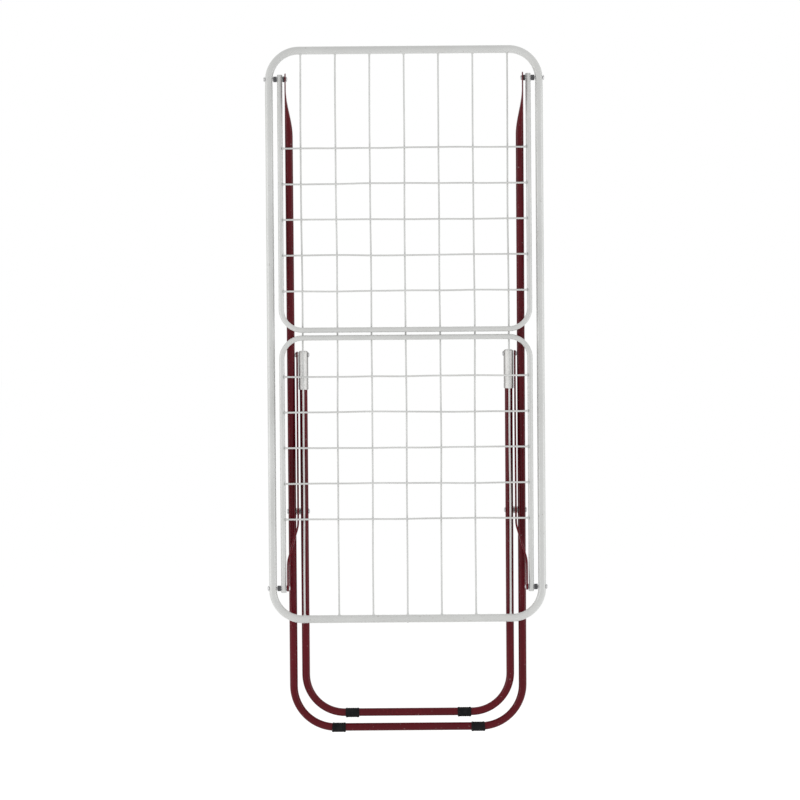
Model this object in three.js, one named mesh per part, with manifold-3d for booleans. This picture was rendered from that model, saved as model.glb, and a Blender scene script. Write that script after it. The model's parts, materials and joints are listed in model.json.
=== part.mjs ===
// A folding clothes drying rack, folded flat and upright. Millimetres, +Z up, +X right, +Y towards the legs.
// The origin is where a wall hook carries the rack: the middle of the top bar's underside.
import * as THREE from "three";
import { mergeVertices } from "three/addons/utils/BufferGeometryUtils.js";
import Module from "manifold-3d";

const wasm = await Module();
wasm.setup();

// Every height below is above the ground that the folded rack's outer feet touch.

// The frame: one bent tube, its ends butted at the middle of the bottom bar.
const tubeDiameter = 15;
const tubeWall = 1;
const tubeSides = 12;
const frameHalfWidth = 255.5;
const frameTop = 1297.5;
const frameBottom = 220;
const frameCornerRadius = 57;
const frameCornerSteps = 7;
const seamGap = 0.6;
const spigotDiameter = 11.8;
const spigotLength = 70;

// The long wires that washing hangs on.
const wireDiameter = 3.4;
const wireSides = 8;
const wirePlaces = [-195.5, -130, -65, 0, 65, 130, 195.5];

// The hinge pins, through frame, wing and leg or link.
const upperPinHeight = 1243.5;
const lowerPinHeight = 279;
const pinDiameter = 5;
const pinHole = 5.7;
const pinHeadDiameter = 10;
const pinHeadHeight = 2.6;
const pinSides = 12;
// A rivet head's shoulder and crown, as shares of its height and radius.
const headShoulderRise = 0.45;
const headShoulderReach = 0.9;
const headCrownReach = 0.45;
const spacerDiameter = 10.6;
const washerDiameter = 11;
const bushDiameter = 13;
// The frame's corner bends start just below the upper pins, so the spacers stop this far short of the tube.
const bendRelief = 0.7;

// The wings: a thinner bent tube with five cross wires each.
const wingTube = 10;
const wingSides = 10;
const wingHalfWidth = 235;
const wingLength = 475;
const wingCornerRadius = 40;
const wingCornerSteps = 5;
const wingTubeBeyondPin = 8;
const wingTilt = 0.9;
const wingWireCount = 5;
const wingWireFirst = 73.5;
const wingWirePitch = 67.6;
const wingWireForward = 3.6;

// The legs: two bent tubes in one plane that slopes back from the upper pins.
const legTilt = 1.8;
const outerLegHalfWidth = 218.5;
const outerLegBendRadius = 80;
const innerLegHalfWidth = 195;
const innerLegBendRadius = 74;
const legBendSteps = 7;
const innerBarHeight = 38;
const crossDistance = 820;
const elbowHeight = 722;
const innerLegBeyondElbow = 5;

// The outer leg's ends, pressed flat against the tube's outer edge.
const plateThickness = 3;
const plateWidth = 22;
const plateSlit = 0.4;
const plateSideWall = 1.2;
const plateStart = 20;
const taperEnd = 108;
const taperSteps = 5;

// Rubber feet on the leg bars, cut flat underneath.
const footRadius = 10;
const footBore = 8.3;
const footFlat = 9.7;
const footSides = 16;
const outerFootInner = 120;
const innerFootInner = 94;
const footLength = 26;

// Caps on the inner leg's open ends.
const capDiameter = 18.4;
const capLength = 74;
const capTopThickness = 2.5;
const capSides = 14;
// The cap's top edge slopes in, as shares of its top's thickness and its radius.
const capEdgeDrop = 0.6;
const capCrownReach = 0.72;

// The folding links, bent flat bars.
const linkThickness = 3.5;
const linkWidth = 12;
const linkInnerFace = 205;
const linkOuterFace = 225.2;
const linkBendStart = 52;
const linkBendEnd = 118;
const linkRoundSteps = 6;

const clearance = 0.3;
const hookHeight = frameTop - tubeDiameter / 2;
const outerBarHeight = footFlat;
const sides = [{ name: "left", sign: -1 }, { name: "right", sign: 1 }];

const finishes = {
  framePaint: { color: 0xd9dad6, roughness: 0.35, metalness: 0.1 },
  legPaint: { color: 0x7c1626, roughness: 0.28, metalness: 0.15 },
  wire: { color: 0xdedfdc, roughness: 0.35, metalness: 0.2 },
  rivetSteel: { color: 0x8f9092, roughness: 0.35, metalness: 0.9 },
  darkPlastic: { color: 0x3a3b3d, roughness: 0.55, metalness: 0 },
  greyPlastic: { color: 0x8d8a84, roughness: 0.5, metalness: 0 },
  rubber: { color: 0x17171a, roughness: 0.75, metalness: 0 },
};

const degrees = (angle) => (angle * Math.PI) / 180;

function mesh(name, geometry, finish) {
  const made = new THREE.Mesh(geometry, new THREE.MeshStandardMaterial(finishes[finish]));
  made.name = name;
  return made;
}

// A curve that stops only at its stations, each with a place and a direction.
class StationCurve extends THREE.Curve {
  constructor(stations) {
    super();
    this.stations = stations;
  }
  station(share) {
    return this.stations[Math.round(share * (this.stations.length - 1))];
  }
  getPoint(share, target = new THREE.Vector3()) {
    return target.copy(this.station(share).place);
  }
  getPointAt(share, target) {
    return this.getPoint(share, target);
  }
  getTangent(share, target = new THREE.Vector3()) {
    return target.copy(this.station(share).direction);
  }
  getTangentAt(share, target) {
    return this.getTangent(share, target);
  }
}

// Stations around one right-angled corner, from the first angle to the last, in degrees.
function bendStations(corner, inward, outward, radius, steps, lastAngle = 90) {
  const stations = [];
  for (let i = 0; i <= steps; i += 1) {
    const angle = degrees((lastAngle * i) / steps);
    const place = corner.clone();
    place.addScaledVector(inward, -radius * (1 - Math.sin(angle)));
    place.addScaledVector(outward, radius * (1 - Math.cos(angle)));
    const direction = inward.clone().multiplyScalar(Math.cos(angle)).addScaledVector(outward, Math.sin(angle));
    stations.push({ place, direction });
  }
  return stations;
}

// Stations along straight runs between points, with the marked points rounded.
function route(points) {
  const stations = [];
  points.forEach(({ place, radius = 0, steps }, i) => {
    const before = points[i - 1];
    const after = points[i + 1];
    const inward = place.clone().sub(before ? before.place : after.place);
    if (!before) inward.negate();
    inward.normalize();
    if (radius) {
      const outward = after.place.clone().sub(place).normalize();
      stations.push(...bendStations(place, inward, outward, radius, steps));
    } else {
      stations.push({ place, direction: inward });
    }
  });
  return stations;
}

function ringShape(outerRadius, innerRadius) {
  const shape = new THREE.Shape().absarc(0, 0, outerRadius, 0, 2 * Math.PI);
  shape.holes.push(new THREE.Path().absarc(0, 0, innerRadius, 0, 2 * Math.PI));
  return shape;
}

function pipe(stations, outerRadius, innerRadius, sideCount) {
  return new THREE.ExtrudeGeometry(ringShape(outerRadius, innerRadius), {
    steps: stations.length - 1,
    extrudePath: new StationCurve(stations),
    curveSegments: sideCount / 2,
    bevelEnabled: false,
  });
}

function toSolid(geometry) {
  const bare = geometry.clone();
  bare.deleteAttribute("normal");
  bare.deleteAttribute("uv");
  const merged = mergeVertices(bare, 1e-3);
  const vertProperties = merged.attributes.position.array;
  const triVerts = new Uint32Array(merged.index.array);
  return new wasm.Manifold(new wasm.Mesh({ numProp: 3, vertProperties, triVerts }));
}

function toGeometry(solid) {
  const made = solid.getMesh();
  const geometry = new THREE.BufferGeometry();
  geometry.setAttribute("position", new THREE.BufferAttribute(made.vertProperties, 3));
  geometry.setIndex(new THREE.BufferAttribute(made.triVerts, 1));
  const flat = geometry.toNonIndexed();
  flat.computeVertexNormals();
  return flat;
}

function cut(geometry, ...tools) {
  return toGeometry(tools.reduce((solid, tool) => solid.subtract(toSolid(tool)), toSolid(geometry)));
}

// A solid round bar along X.
function crossBar(diameter, length, sideCount) {
  return new THREE.CylinderGeometry(diameter / 2, diameter / 2, length, sideCount).rotateZ(Math.PI / 2);
}

// A drill through a pair of tubes at the same height on both sides.
function drill(diameter, halfWidth, height) {
  const length = 2 * (halfWidth + tubeDiameter);
  return crossBar(diameter, length, pinSides).translate(0, 0, height);
}

// A turned part along +X: the profile lists [distance along X, radius].
function turned(profile, sideCount) {
  const points = profile.map(([along, radius]) => new THREE.Vector2(radius, along));
  return new THREE.LatheGeometry(points, sideCount).rotateZ(-Math.PI / 2);
}

function spacer(name, sign, height, innerFace, outerFace, outerDiameter, finish) {
  const from = innerFace + clearance;
  const to = outerFace - clearance;
  const bore = pinHole / 2;
  const rim = outerDiameter / 2;
  const profile = [[from, bore], [from, rim], [to, rim], [to, bore], [from, bore]];
  const made = mesh(name, turned(profile, pinSides), finish);
  made.position.z = height;
  made.rotation.z = sign > 0 ? 0 : Math.PI;
  return made;
}

// A rivet head from the rim of its flat face to the middle of its crown.
function headProfile(face, height, radius) {
  return [
    [face, radius],
    [face + height * headShoulderRise, radius * headShoulderReach],
    [face + height, radius * headCrownReach],
    [face + height, 0],
  ];
}

// A rivet along X with a domed head at each end that is asked for.
function rivet(name, sign, place, from, to, heads) {
  const shank = pinDiameter / 2;
  const head = pinHeadDiameter / 2;
  const profile = [];
  if (heads.inner) {
    profile.push(...headProfile(from, -pinHeadHeight, head).reverse(), [from, shank]);
  } else {
    profile.push([from, 0], [from, shank]);
  }
  if (heads.outer) {
    profile.push([to, shank], ...headProfile(to, pinHeadHeight, head));
  } else {
    profile.push([to, shank], [to, 0]);
  }
  const made = mesh(name, turned(profile, pinSides), "rivetSteel");
  made.position.copy(place);
  made.rotation.z = sign > 0 ? 0 : Math.PI;
  return made;
}

// The frame and its wires.

function makeFrameTube() {
  const corner = (x, z) => ({
    place: new THREE.Vector3(x, 0, z),
    radius: frameCornerRadius,
    steps: frameCornerSteps,
  });
  const stations = route([
    { place: new THREE.Vector3(seamGap / 2, 0, frameBottom) },
    corner(frameHalfWidth, frameBottom),
    corner(frameHalfWidth, frameTop),
    corner(-frameHalfWidth, frameTop),
    corner(-frameHalfWidth, frameBottom),
    { place: new THREE.Vector3(-seamGap / 2, 0, frameBottom) },
  ]);
  const blank = pipe(stations, tubeDiameter / 2, tubeDiameter / 2 - tubeWall, tubeSides);
  const drilled = cut(
    blank,
    drill(pinHole, frameHalfWidth, upperPinHeight),
    drill(pinHole, frameHalfWidth, lowerPinHeight),
  );
  return mesh("main_frame", drilled, "framePaint");
}

function makeSpigot() {
  const made = mesh("frame_spigot", crossBar(spigotDiameter, spigotLength, tubeSides), "rivetSteel");
  made.position.z = frameBottom;
  return made;
}

function makeLineWires() {
  const top = frameTop - tubeDiameter / 2 - clearance;
  const bottom = frameBottom + tubeDiameter / 2 + clearance;
  return wirePlaces.map((x, i) => {
    const rod = new THREE.CylinderGeometry(wireDiameter / 2, wireDiameter / 2, top - bottom, wireSides);
    const made = mesh(`line_wire_${i + 1}`, rod.rotateX(Math.PI / 2), "wire");
    made.position.set(x, 0, (top + bottom) / 2);
    return made;
  });
}

// Each hinge stack, from the outside in: rivet head, frame tube, spacer, wing tube, spacer, leg or link.
function makeHinges() {
  const frameInner = frameHalfWidth - tubeDiameter / 2;
  const frameOuter = frameHalfWidth + tubeDiameter / 2;
  const wingOuter = wingHalfWidth + wingTube / 2;
  const wingInner = wingHalfWidth - wingTube / 2;
  const plateOuter = outerLegHalfWidth + tubeDiameter / 2;
  const levels = [
    { name: "upper", height: upperPinHeight, outer: plateOuter, inner: plateOuter - plateThickness },
    { name: "lower", height: lowerPinHeight, outer: linkOuterFace + linkThickness, inner: linkOuterFace },
  ];
  const made = [];
  levels.forEach((level) => {
    sides.forEach(({ name, sign }) => {
      const label = `${level.name}_${name}`;
      const place = new THREE.Vector3(0, 0, level.height);
      const from = level.inner - clearance;
      const to = frameOuter + clearance;
      made.push(rivet(`hinge_pin_${label}`, sign, place, from, to, { inner: true, outer: true }));
      const spacerEnd = frameInner - bendRelief;
      const ring = (part, innerFace, outerFace, diameter) =>
        spacer(`${part}_${label}`, sign, level.height, innerFace, outerFace, diameter, "darkPlastic");
      made.push(
        ring("frame_spacer", wingOuter, spacerEnd, spacerDiameter),
        ring("wing_washer", level.outer, wingInner, washerDiameter),
      );
    });
  });
  return made;
}

// The wings. A wing runs along Z from its pins, down for the upper one and up for the lower one.

function makeWing(name, height, direction) {
  const group = new THREE.Group();
  group.position.z = height;
  group.rotation.x = degrees(wingTilt) * direction;
  const start = -direction * wingTubeBeyondPin;
  const end = direction * wingLength;
  const corner = (x) => ({
    place: new THREE.Vector3(x, 0, end),
    radius: wingCornerRadius,
    steps: wingCornerSteps,
  });
  const stations = route([
    { place: new THREE.Vector3(wingHalfWidth, 0, start) },
    corner(wingHalfWidth),
    corner(-wingHalfWidth),
    { place: new THREE.Vector3(-wingHalfWidth, 0, start) },
  ]);
  const blank = pipe(stations, wingTube / 2, wingTube / 2 - tubeWall, wingSides);
  group.add(mesh(`${name}_tube`, cut(blank, drill(pinHole, wingHalfWidth, 0)), "framePaint"));
  const reach = wingHalfWidth - wingTube / 2 - clearance / 2;
  for (let i = 0; i < wingWireCount; i += 1) {
    const rod = crossBar(wireDiameter, 2 * reach, wireSides);
    const wire = mesh(`${name}_wire_${i + 1}`, rod, "wire");
    const fromEnd = wingWireFirst + i * wingWirePitch;
    wire.position.set(0, -wingWireForward, end - direction * fromEnd);
    group.add(wire);
  }
  return group;
}

// The legs, in a group that hangs from the upper pins and slopes back.

const tilt = degrees(legTilt);
const downLeg = (height) => (height - upperPinHeight) / Math.cos(tilt);
const crossAlong = -crossDistance;
const elbowAlong = downLeg(elbowHeight);

// Presses the ends of the outer leg flat: the tube keeps its outer edge and its inner edge moves out.
function pressEnds(geometry) {
  const place = geometry.attributes.position;
  const outerRadius = tubeDiameter / 2;
  const innerRadius = outerRadius - tubeWall;
  const moveOut = outerRadius - plateThickness / 2;
  for (let i = 0; i < place.count; i += 1) {
    const z = place.getZ(i);
    if (z <= -taperEnd) continue;
    const share = THREE.MathUtils.smoothstep(z, -taperEnd, -plateStart);
    const sign = Math.sign(place.getX(i));
    const acrossX = Math.abs(place.getX(i)) - outerLegHalfWidth;
    const acrossY = place.getY(i);
    const isOuter = Math.hypot(acrossX, acrossY) > (outerRadius + innerRadius) / 2;
    const radius = isOuter ? outerRadius : innerRadius;
    const halfX = isOuter ? plateThickness / 2 : plateSlit / 2;
    const halfY = isOuter ? plateWidth / 2 : plateWidth / 2 - plateSideWall;
    const scaleX = THREE.MathUtils.lerp(1, halfX / radius, share);
    const scaleY = THREE.MathUtils.lerp(1, halfY / radius, share);
    const y = acrossY * scaleY;
    const endRise = z > 0 ? Math.sqrt(Math.max(0, (plateWidth / 2) ** 2 - y * y)) : z;
    place.setXYZ(i, sign * (outerLegHalfWidth + moveOut * share + acrossX * scaleX), y, endRise);
  }
  return geometry;
}

function legStations(halfWidth, top, bar, bendRadius, between = []) {
  const at = (x, z) => ({ place: new THREE.Vector3(x, 0, z) });
  const bend = (x) => ({ ...at(x, bar), radius: bendRadius, steps: legBendSteps });
  return route([
    at(halfWidth, top),
    ...between.map((z) => at(halfWidth, z)),
    bend(halfWidth),
    bend(-halfWidth),
    ...[...between].reverse().map((z) => at(-halfWidth, z)),
    at(-halfWidth, top),
  ]);
}

function makeOuterLegTube() {
  const between = [-plateThickness];
  for (let i = 0; i <= taperSteps; i += 1) {
    between.push(THREE.MathUtils.lerp(-plateStart, -taperEnd, i / taperSteps));
  }
  const top = plateWidth / 2;
  const bar = downLeg(outerBarHeight);
  const stations = legStations(outerLegHalfWidth, top, bar, outerLegBendRadius, between);
  const blank = pipe(stations, tubeDiameter / 2, tubeDiameter / 2 - tubeWall, tubeSides);
  const drilled = cut(
    pressEnds(blank),
    drill(pinHole, outerLegHalfWidth, 0),
    drill(pinHole, outerLegHalfWidth, crossAlong),
  );
  return mesh("outer_leg_tube", drilled, "legPaint");
}

function makeInnerLegTube() {
  const top = elbowAlong + innerLegBeyondElbow;
  const stations = legStations(innerLegHalfWidth, top, downLeg(innerBarHeight), innerLegBendRadius);
  const blank = pipe(stations, tubeDiameter / 2, tubeDiameter / 2 - tubeWall, tubeSides);
  const drilled = cut(
    blank,
    drill(pinHole, innerLegHalfWidth, elbowAlong),
    drill(pinHole, innerLegHalfWidth, crossAlong),
  );
  return mesh("inner_leg_tube", drilled, "legPaint");
}

// A sleeve that follows the bar and the start of its bend, cut level underneath.
function makeFoot(name, sign, halfWidth, bendRadius, barAlong, innerEnd) {
  const corner = new THREE.Vector3(sign * halfWidth, 0, barAlong);
  const inward = new THREE.Vector3(sign, 0, 0);
  const up = new THREE.Vector3(0, 0, 1);
  const straightEnd = Math.min(innerEnd + footLength, halfWidth - bendRadius);
  const bentLength = innerEnd + footLength - straightEnd;
  const at = (x) => ({ place: new THREE.Vector3(sign * x, 0, barAlong), direction: inward });
  const stations = [at(innerEnd), at(straightEnd)];
  if (bentLength > 0) {
    const bentAngle = THREE.MathUtils.radToDeg(bentLength / bendRadius);
    stations.push(...bendStations(corner, inward, up, bendRadius, 1, bentAngle).slice(1));
  }
  const blank = pipe(stations, footRadius, footBore, footSides);
  const cutter = new THREE.BoxGeometry(2 * halfWidth, 4 * footRadius, footRadius);
  cutter.translate(0, 0, -footFlat - footRadius / 2);
  cutter.rotateX(-tilt);
  cutter.translate(0, 0, barAlong);
  return mesh(name, cut(blank, cutter), "rubber");
}

function makeCrossPivot({ name, sign }) {
  const outerFace = outerLegHalfWidth + tubeDiameter / 2 + clearance;
  const innerFace = innerLegHalfWidth - tubeDiameter / 2 - clearance;
  const gapOuter = outerLegHalfWidth - tubeDiameter / 2;
  const gapInner = innerLegHalfWidth + tubeDiameter / 2;
  const place = new THREE.Vector3(0, 0, crossAlong);
  return [
    rivet(`cross_rivet_${name}`, sign, place, innerFace, outerFace, { inner: true, outer: true }),
    spacer(`cross_bush_${name}`, sign, crossAlong, gapInner, gapOuter, bushDiameter, "greyPlastic"),
  ];
}

// A cap over the end of the inner leg, drilled for the elbow pin.
function makeCap({ name, sign }) {
  const top = elbowAlong + innerLegBeyondElbow + clearance + capTopThickness;
  const bottom = top - capLength;
  const rim = capDiameter / 2;
  const bore = tubeDiameter / 2 + clearance;
  const ceiling = top - capTopThickness;
  const profile = [
    [bottom, bore],
    [bottom, rim],
    [top - capTopThickness * capEdgeDrop, rim],
    [top, rim * capCrownReach],
    [top, 0],
    [ceiling, 0],
    [ceiling, bore],
    [bottom, bore],
  ];
  const points = profile.map(([z, radius]) => new THREE.Vector2(radius, z));
  const turnedCap = new THREE.LatheGeometry(points, capSides).rotateX(Math.PI / 2);
  const hole = crossBar(pinHole, 2 * capDiameter, pinSides).translate(0, 0, elbowAlong);
  const made = mesh(`inner_leg_cap_${name}`, cut(turnedCap, hole), "greyPlastic");
  made.position.x = sign * innerLegHalfWidth;
  return made;
}

// The elbow pivot's leg half ends flush with the cap, just clear of the link.
function makeElbowPin({ name, sign }) {
  const from = innerLegHalfWidth - capDiameter / 2 - clearance;
  const to = innerLegHalfWidth + capDiameter / 2;
  const place = new THREE.Vector3(0, 0, elbowAlong);
  return rivet(`elbow_pin_${name}`, sign, place, from, to, { inner: true, outer: false });
}

function makeLegs() {
  const group = new THREE.Group();
  group.position.z = upperPinHeight;
  group.rotation.x = tilt;
  group.add(makeOuterLegTube(), makeInnerLegTube());
  sides.forEach((side) => {
    const { name, sign } = side;
    const outerBar = downLeg(outerBarHeight);
    const innerBar = downLeg(innerBarHeight);
    group.add(
      makeFoot(`outer_foot_${name}`, sign, outerLegHalfWidth, outerLegBendRadius, outerBar, outerFootInner),
      makeFoot(`inner_foot_${name}`, sign, innerLegHalfWidth, innerLegBendRadius, innerBar, innerFootInner),
      ...makeCrossPivot(side),
      makeCap(side),
      makeElbowPin(side),
    );
  });
  return group;
}

// The links join the lower pins to the inner leg's elbows.

const elbowBack = -elbowAlong * Math.sin(tilt);
const linkRise = elbowHeight - lowerPinHeight;
const linkLength = Math.hypot(elbowBack, linkRise);
const linkTilt = Math.atan2(elbowBack, linkRise);

function makeLink({ name, sign }) {
  const half = linkWidth / 2;
  const edge = [
    [linkOuterFace, -half],
    [linkOuterFace, linkBendStart],
    [linkInnerFace, linkBendEnd],
    [linkInnerFace, linkLength + half],
    [linkInnerFace + linkThickness, linkLength + half],
    [linkInnerFace + linkThickness, linkBendEnd],
    [linkOuterFace + linkThickness, linkBendStart],
    [linkOuterFace + linkThickness, -half],
  ];
  // The bar's bent edge, seen from the front, extruded to its width along Y.
  const bent = new THREE.ExtrudeGeometry(
    new THREE.Shape(edge.map(([x, z]) => new THREE.Vector2(sign * x, z))),
    { depth: linkWidth, bevelEnabled: false },
  );
  bent.rotateX(Math.PI / 2).translate(0, half, 0);
  // Its outline seen from the side, with round ends, extruded across both faces.
  const outline = new THREE.Shape();
  outline.absarc(0, linkLength, half, 0, Math.PI);
  outline.absarc(0, 0, half, Math.PI, 2 * Math.PI);
  const reach = linkOuterFace + 2 * linkThickness;
  const rounded = new THREE.ExtrudeGeometry(outline, {
    depth: 2 * reach,
    curveSegments: linkRoundSteps,
    bevelEnabled: false,
  });
  rounded.translate(0, 0, -reach).rotateX(Math.PI / 2).rotateZ(Math.PI / 2);
  const holes = [0, linkLength].map((along) => toSolid(drill(pinHole, linkOuterFace, along)));
  const solid = holes.reduce((bar, hole) => bar.subtract(hole), toSolid(bent).intersect(toSolid(rounded)));
  return mesh(`link_${name}`, toGeometry(solid), "legPaint");
}

// The elbow pivot's link half: a rivet head on the link's outer face, flush at the inner face.
function makeLinkRivet({ name, sign }) {
  const from = linkInnerFace;
  const to = linkInnerFace + linkThickness + clearance;
  const shank = pinDiameter / 2;
  const head = pinHeadDiameter / 2;
  const headHeight = outerLegHalfWidth - tubeDiameter / 2 - to - clearance;
  const profile = [[from, 0], [from, shank], [to, shank], ...headProfile(to, headHeight, head)];
  const made = mesh(`link_rivet_${name}`, turned(profile, pinSides), "rivetSteel");
  made.position.z = linkLength;
  made.rotation.z = sign > 0 ? 0 : Math.PI;
  return made;
}

function makeLinks() {
  const group = new THREE.Group();
  group.position.z = lowerPinHeight;
  group.rotation.x = -linkTilt;
  sides.forEach((side) => group.add(makeLink(side), makeLinkRivet(side)));
  return group;
}

const rack = new THREE.Group();
rack.position.z = -hookHeight;
rack.add(makeFrameTube(), makeSpigot(), ...makeLineWires(), ...makeHinges());
rack.add(makeWing("upper_wing", upperPinHeight, -1));
rack.add(makeWing("lower_wing", lowerPinHeight, 1));
rack.add(makeLegs(), makeLinks());

const whole = new THREE.Group();
whole.add(rack);

export default whole;
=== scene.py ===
import json
import math

import bpy
import numpy as np
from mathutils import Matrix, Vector


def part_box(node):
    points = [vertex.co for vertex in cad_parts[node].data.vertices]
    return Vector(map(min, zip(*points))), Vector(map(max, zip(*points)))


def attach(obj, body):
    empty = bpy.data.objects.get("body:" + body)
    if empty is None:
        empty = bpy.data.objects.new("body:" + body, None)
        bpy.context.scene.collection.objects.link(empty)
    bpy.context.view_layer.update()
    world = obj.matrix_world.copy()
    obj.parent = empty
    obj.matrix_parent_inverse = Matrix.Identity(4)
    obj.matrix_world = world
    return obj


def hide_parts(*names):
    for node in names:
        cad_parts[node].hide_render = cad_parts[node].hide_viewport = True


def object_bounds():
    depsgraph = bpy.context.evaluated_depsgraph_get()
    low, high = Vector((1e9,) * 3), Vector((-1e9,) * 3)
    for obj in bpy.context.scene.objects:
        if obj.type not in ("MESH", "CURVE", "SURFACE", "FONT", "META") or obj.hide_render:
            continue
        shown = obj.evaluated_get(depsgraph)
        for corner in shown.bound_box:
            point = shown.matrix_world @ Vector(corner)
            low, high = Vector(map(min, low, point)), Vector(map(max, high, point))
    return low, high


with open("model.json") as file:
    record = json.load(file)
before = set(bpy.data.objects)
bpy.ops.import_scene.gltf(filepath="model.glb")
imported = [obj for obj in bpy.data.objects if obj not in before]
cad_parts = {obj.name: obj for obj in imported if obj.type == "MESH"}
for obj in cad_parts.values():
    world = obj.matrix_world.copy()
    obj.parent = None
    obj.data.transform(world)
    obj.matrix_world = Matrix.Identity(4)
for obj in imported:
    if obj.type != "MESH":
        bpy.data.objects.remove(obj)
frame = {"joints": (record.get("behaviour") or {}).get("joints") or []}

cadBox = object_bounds()
mm = 0.001
jointPlace = {joint["name"]: Vector(joint["pos_m"]) for joint in frame["joints"]}
upperPin = jointPlace["upper_wing_hinge"]
lowerPin = jointPlace["lower_wing_hinge"]
crossPin = jointPlace["inner_leg_pivot"]
sides = {"left": -1, "right": 1}


# The centre of a node's box.
def middle(node):
    low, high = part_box(node)
    return (low + high) / 2


elbow = middle("elbow_pin_right")
legTilt = math.atan2(crossPin.y - upperPin.y, upperPin.z - crossPin.z)
linkTilt = math.atan2(elbow.y - lowerPin.y, elbow.z - lowerPin.z)
print("frame loaded, leg tilt", round(math.degrees(legTilt), 3))

# Square on to the wings, a little above the middle, rolled by half a degree.
cameraSetup = {
    "distance": 6.0,
    "lens": 142.4,
    "sensor": 36,
    "elevation": 1.2,
    "roll": 0.433,
    "aimX": -0.0108,
    "aimAboveFeet": 0.635,
}


# The camera stands at a distance and a rise from its aim, and looks at it.
def makeCamera():
    values = cameraSetup
    aim = Vector((values["aimX"], 0, cadBox[0][2] + values["aimAboveFeet"]))
    rise = math.radians(values["elevation"])
    data = bpy.data.cameras.new("camera")
    data.lens = values["lens"]
    data.sensor_width = values["sensor"]
    camera = bpy.data.objects.new("camera", data)
    camera.location = aim + values["distance"] * Vector((0, -math.cos(rise), math.sin(rise)))
    camera.rotation_euler = (math.pi / 2 - rise, math.radians(values["roll"]), 0)
    bpy.context.scene.collection.objects.link(camera)
    bpy.context.scene.camera = camera


makeCamera()


# One class wraps a socket, and its operators add Math nodes.
class Shade:
    def __init__(self, tree, socket):
        self.tree = tree
        self.socket = socket

    # Any node: its type, its settings first, then values or links for its sockets.
    def node(self, kind, settings=None, output=0, **sockets):
        made = self.tree.nodes.new(kind)
        for key, value in (settings or {}).items():
            if key == "stops":
                setStops(made.color_ramp, value)
            else:
                setattr(made, key, value)
        for key, value in sockets.items():
            target = made.inputs[int(key[1:])] if key[0] == "_" else made.inputs[key]
            if isinstance(value, Shade):
                self.tree.links.new(value.socket, target)
            else:
                target.default_value = value
        return Shade(self.tree, made.outputs[output])

    def math(self, operation, left, right=0.0):
        return self.node("ShaderNodeMath", {"operation": operation}, _0=left, _1=right)

    def __add__(self, other):
        return self.math("ADD", self, other)

    def __sub__(self, other):
        return self.math("SUBTRACT", self, other)

    def __rsub__(self, other):
        return self.math("SUBTRACT", other, self)

    def __mul__(self, other):
        return self.math("MULTIPLY", self, other)

    __radd__ = __add__
    __rmul__ = __mul__


# A ramp gets as many stops as are given, each a place and a grey.
def setStops(ramp, stops):
    while len(ramp.elements) > len(stops):
        ramp.elements.remove(ramp.elements[-1])
    while len(ramp.elements) < len(stops):
        ramp.elements.new(0.5)
    for element, (place, grey) in zip(ramp.elements, stops):
        element.position = place
        element.color = (grey, grey, grey, 1)


# A material, its Principled node and the coordinates that patterns read.
def startMaterial(name, constants):
    material = bpy.data.materials.new(name)
    material.use_nodes = True
    tree = material.node_tree
    principled = tree.nodes["Principled BSDF"]
    for key, value in constants.items():
        principled.inputs[key].default_value = value
    start = Shade(tree, None)
    place = start.node("ShaderNodeTexCoord", output="Object")
    around = start.node("ShaderNodeTexCoord", output="UV")
    return material, principled, start, place, around


# Noise on coordinates that a mapping stretches.
def noise(start, place, scale, detail=2.0, roughness=0.5, stretch=(1, 1, 1), distortion=0.0):
    mapped = start.node("ShaderNodeMapping", _0=place, Scale=stretch)
    sockets = {"Vector": mapped, "Scale": scale, "Detail": detail, "Roughness": roughness}
    return start.node("ShaderNodeTexNoise", Distortion=distortion, **sockets)


# A straight ramp from 0 at low to 1 at high.
def mask(start, value, low, high):
    settings = {"stops": [(low, 0.0), (high, 1.0)]}
    return start.node("ShaderNodeValToRGB", settings, Fac=value)


# The first colour at share 0, the second at share 1.
def mixColour(start, share, first, second):
    sockets = {"_0": share, "_6": first, "_7": second}
    return start.node("ShaderNodeMix", {"data_type": "RGBA"}, output=2, **sockets)


# A shade goes into one socket of the shader.
def link(principled, name, value):
    value.tree.links.new(value.socket, principled.inputs[name])


# A height bends the shader's normal.
def addBump(start, principled, height, strength, distance):
    sockets = {"Height": height, "Strength": strength, "Distance": distance}
    link(principled, "Normal", start.node("ShaderNodeBump", **sockets))


coatRules = {
    "index": 1.5, "scuffLimits": (0.60, 0.70), "patchLimits": (0.48, 0.62), "dustLimits": (0.52, 0.80),
    "speckLimits": (0.735, 0.77), "driftLimits": (0.3, 0.7), "scuffStretch": (1, 1, 0.06),
    "driftRough": 0.06, "scuffRough": 0.22, "dustRough": 0.16,
    "grainHeight": 0.12, "scuffDepth": 0.25, "speckDepth": 0.3, "bumpDistance": 0.0004,
}


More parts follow.
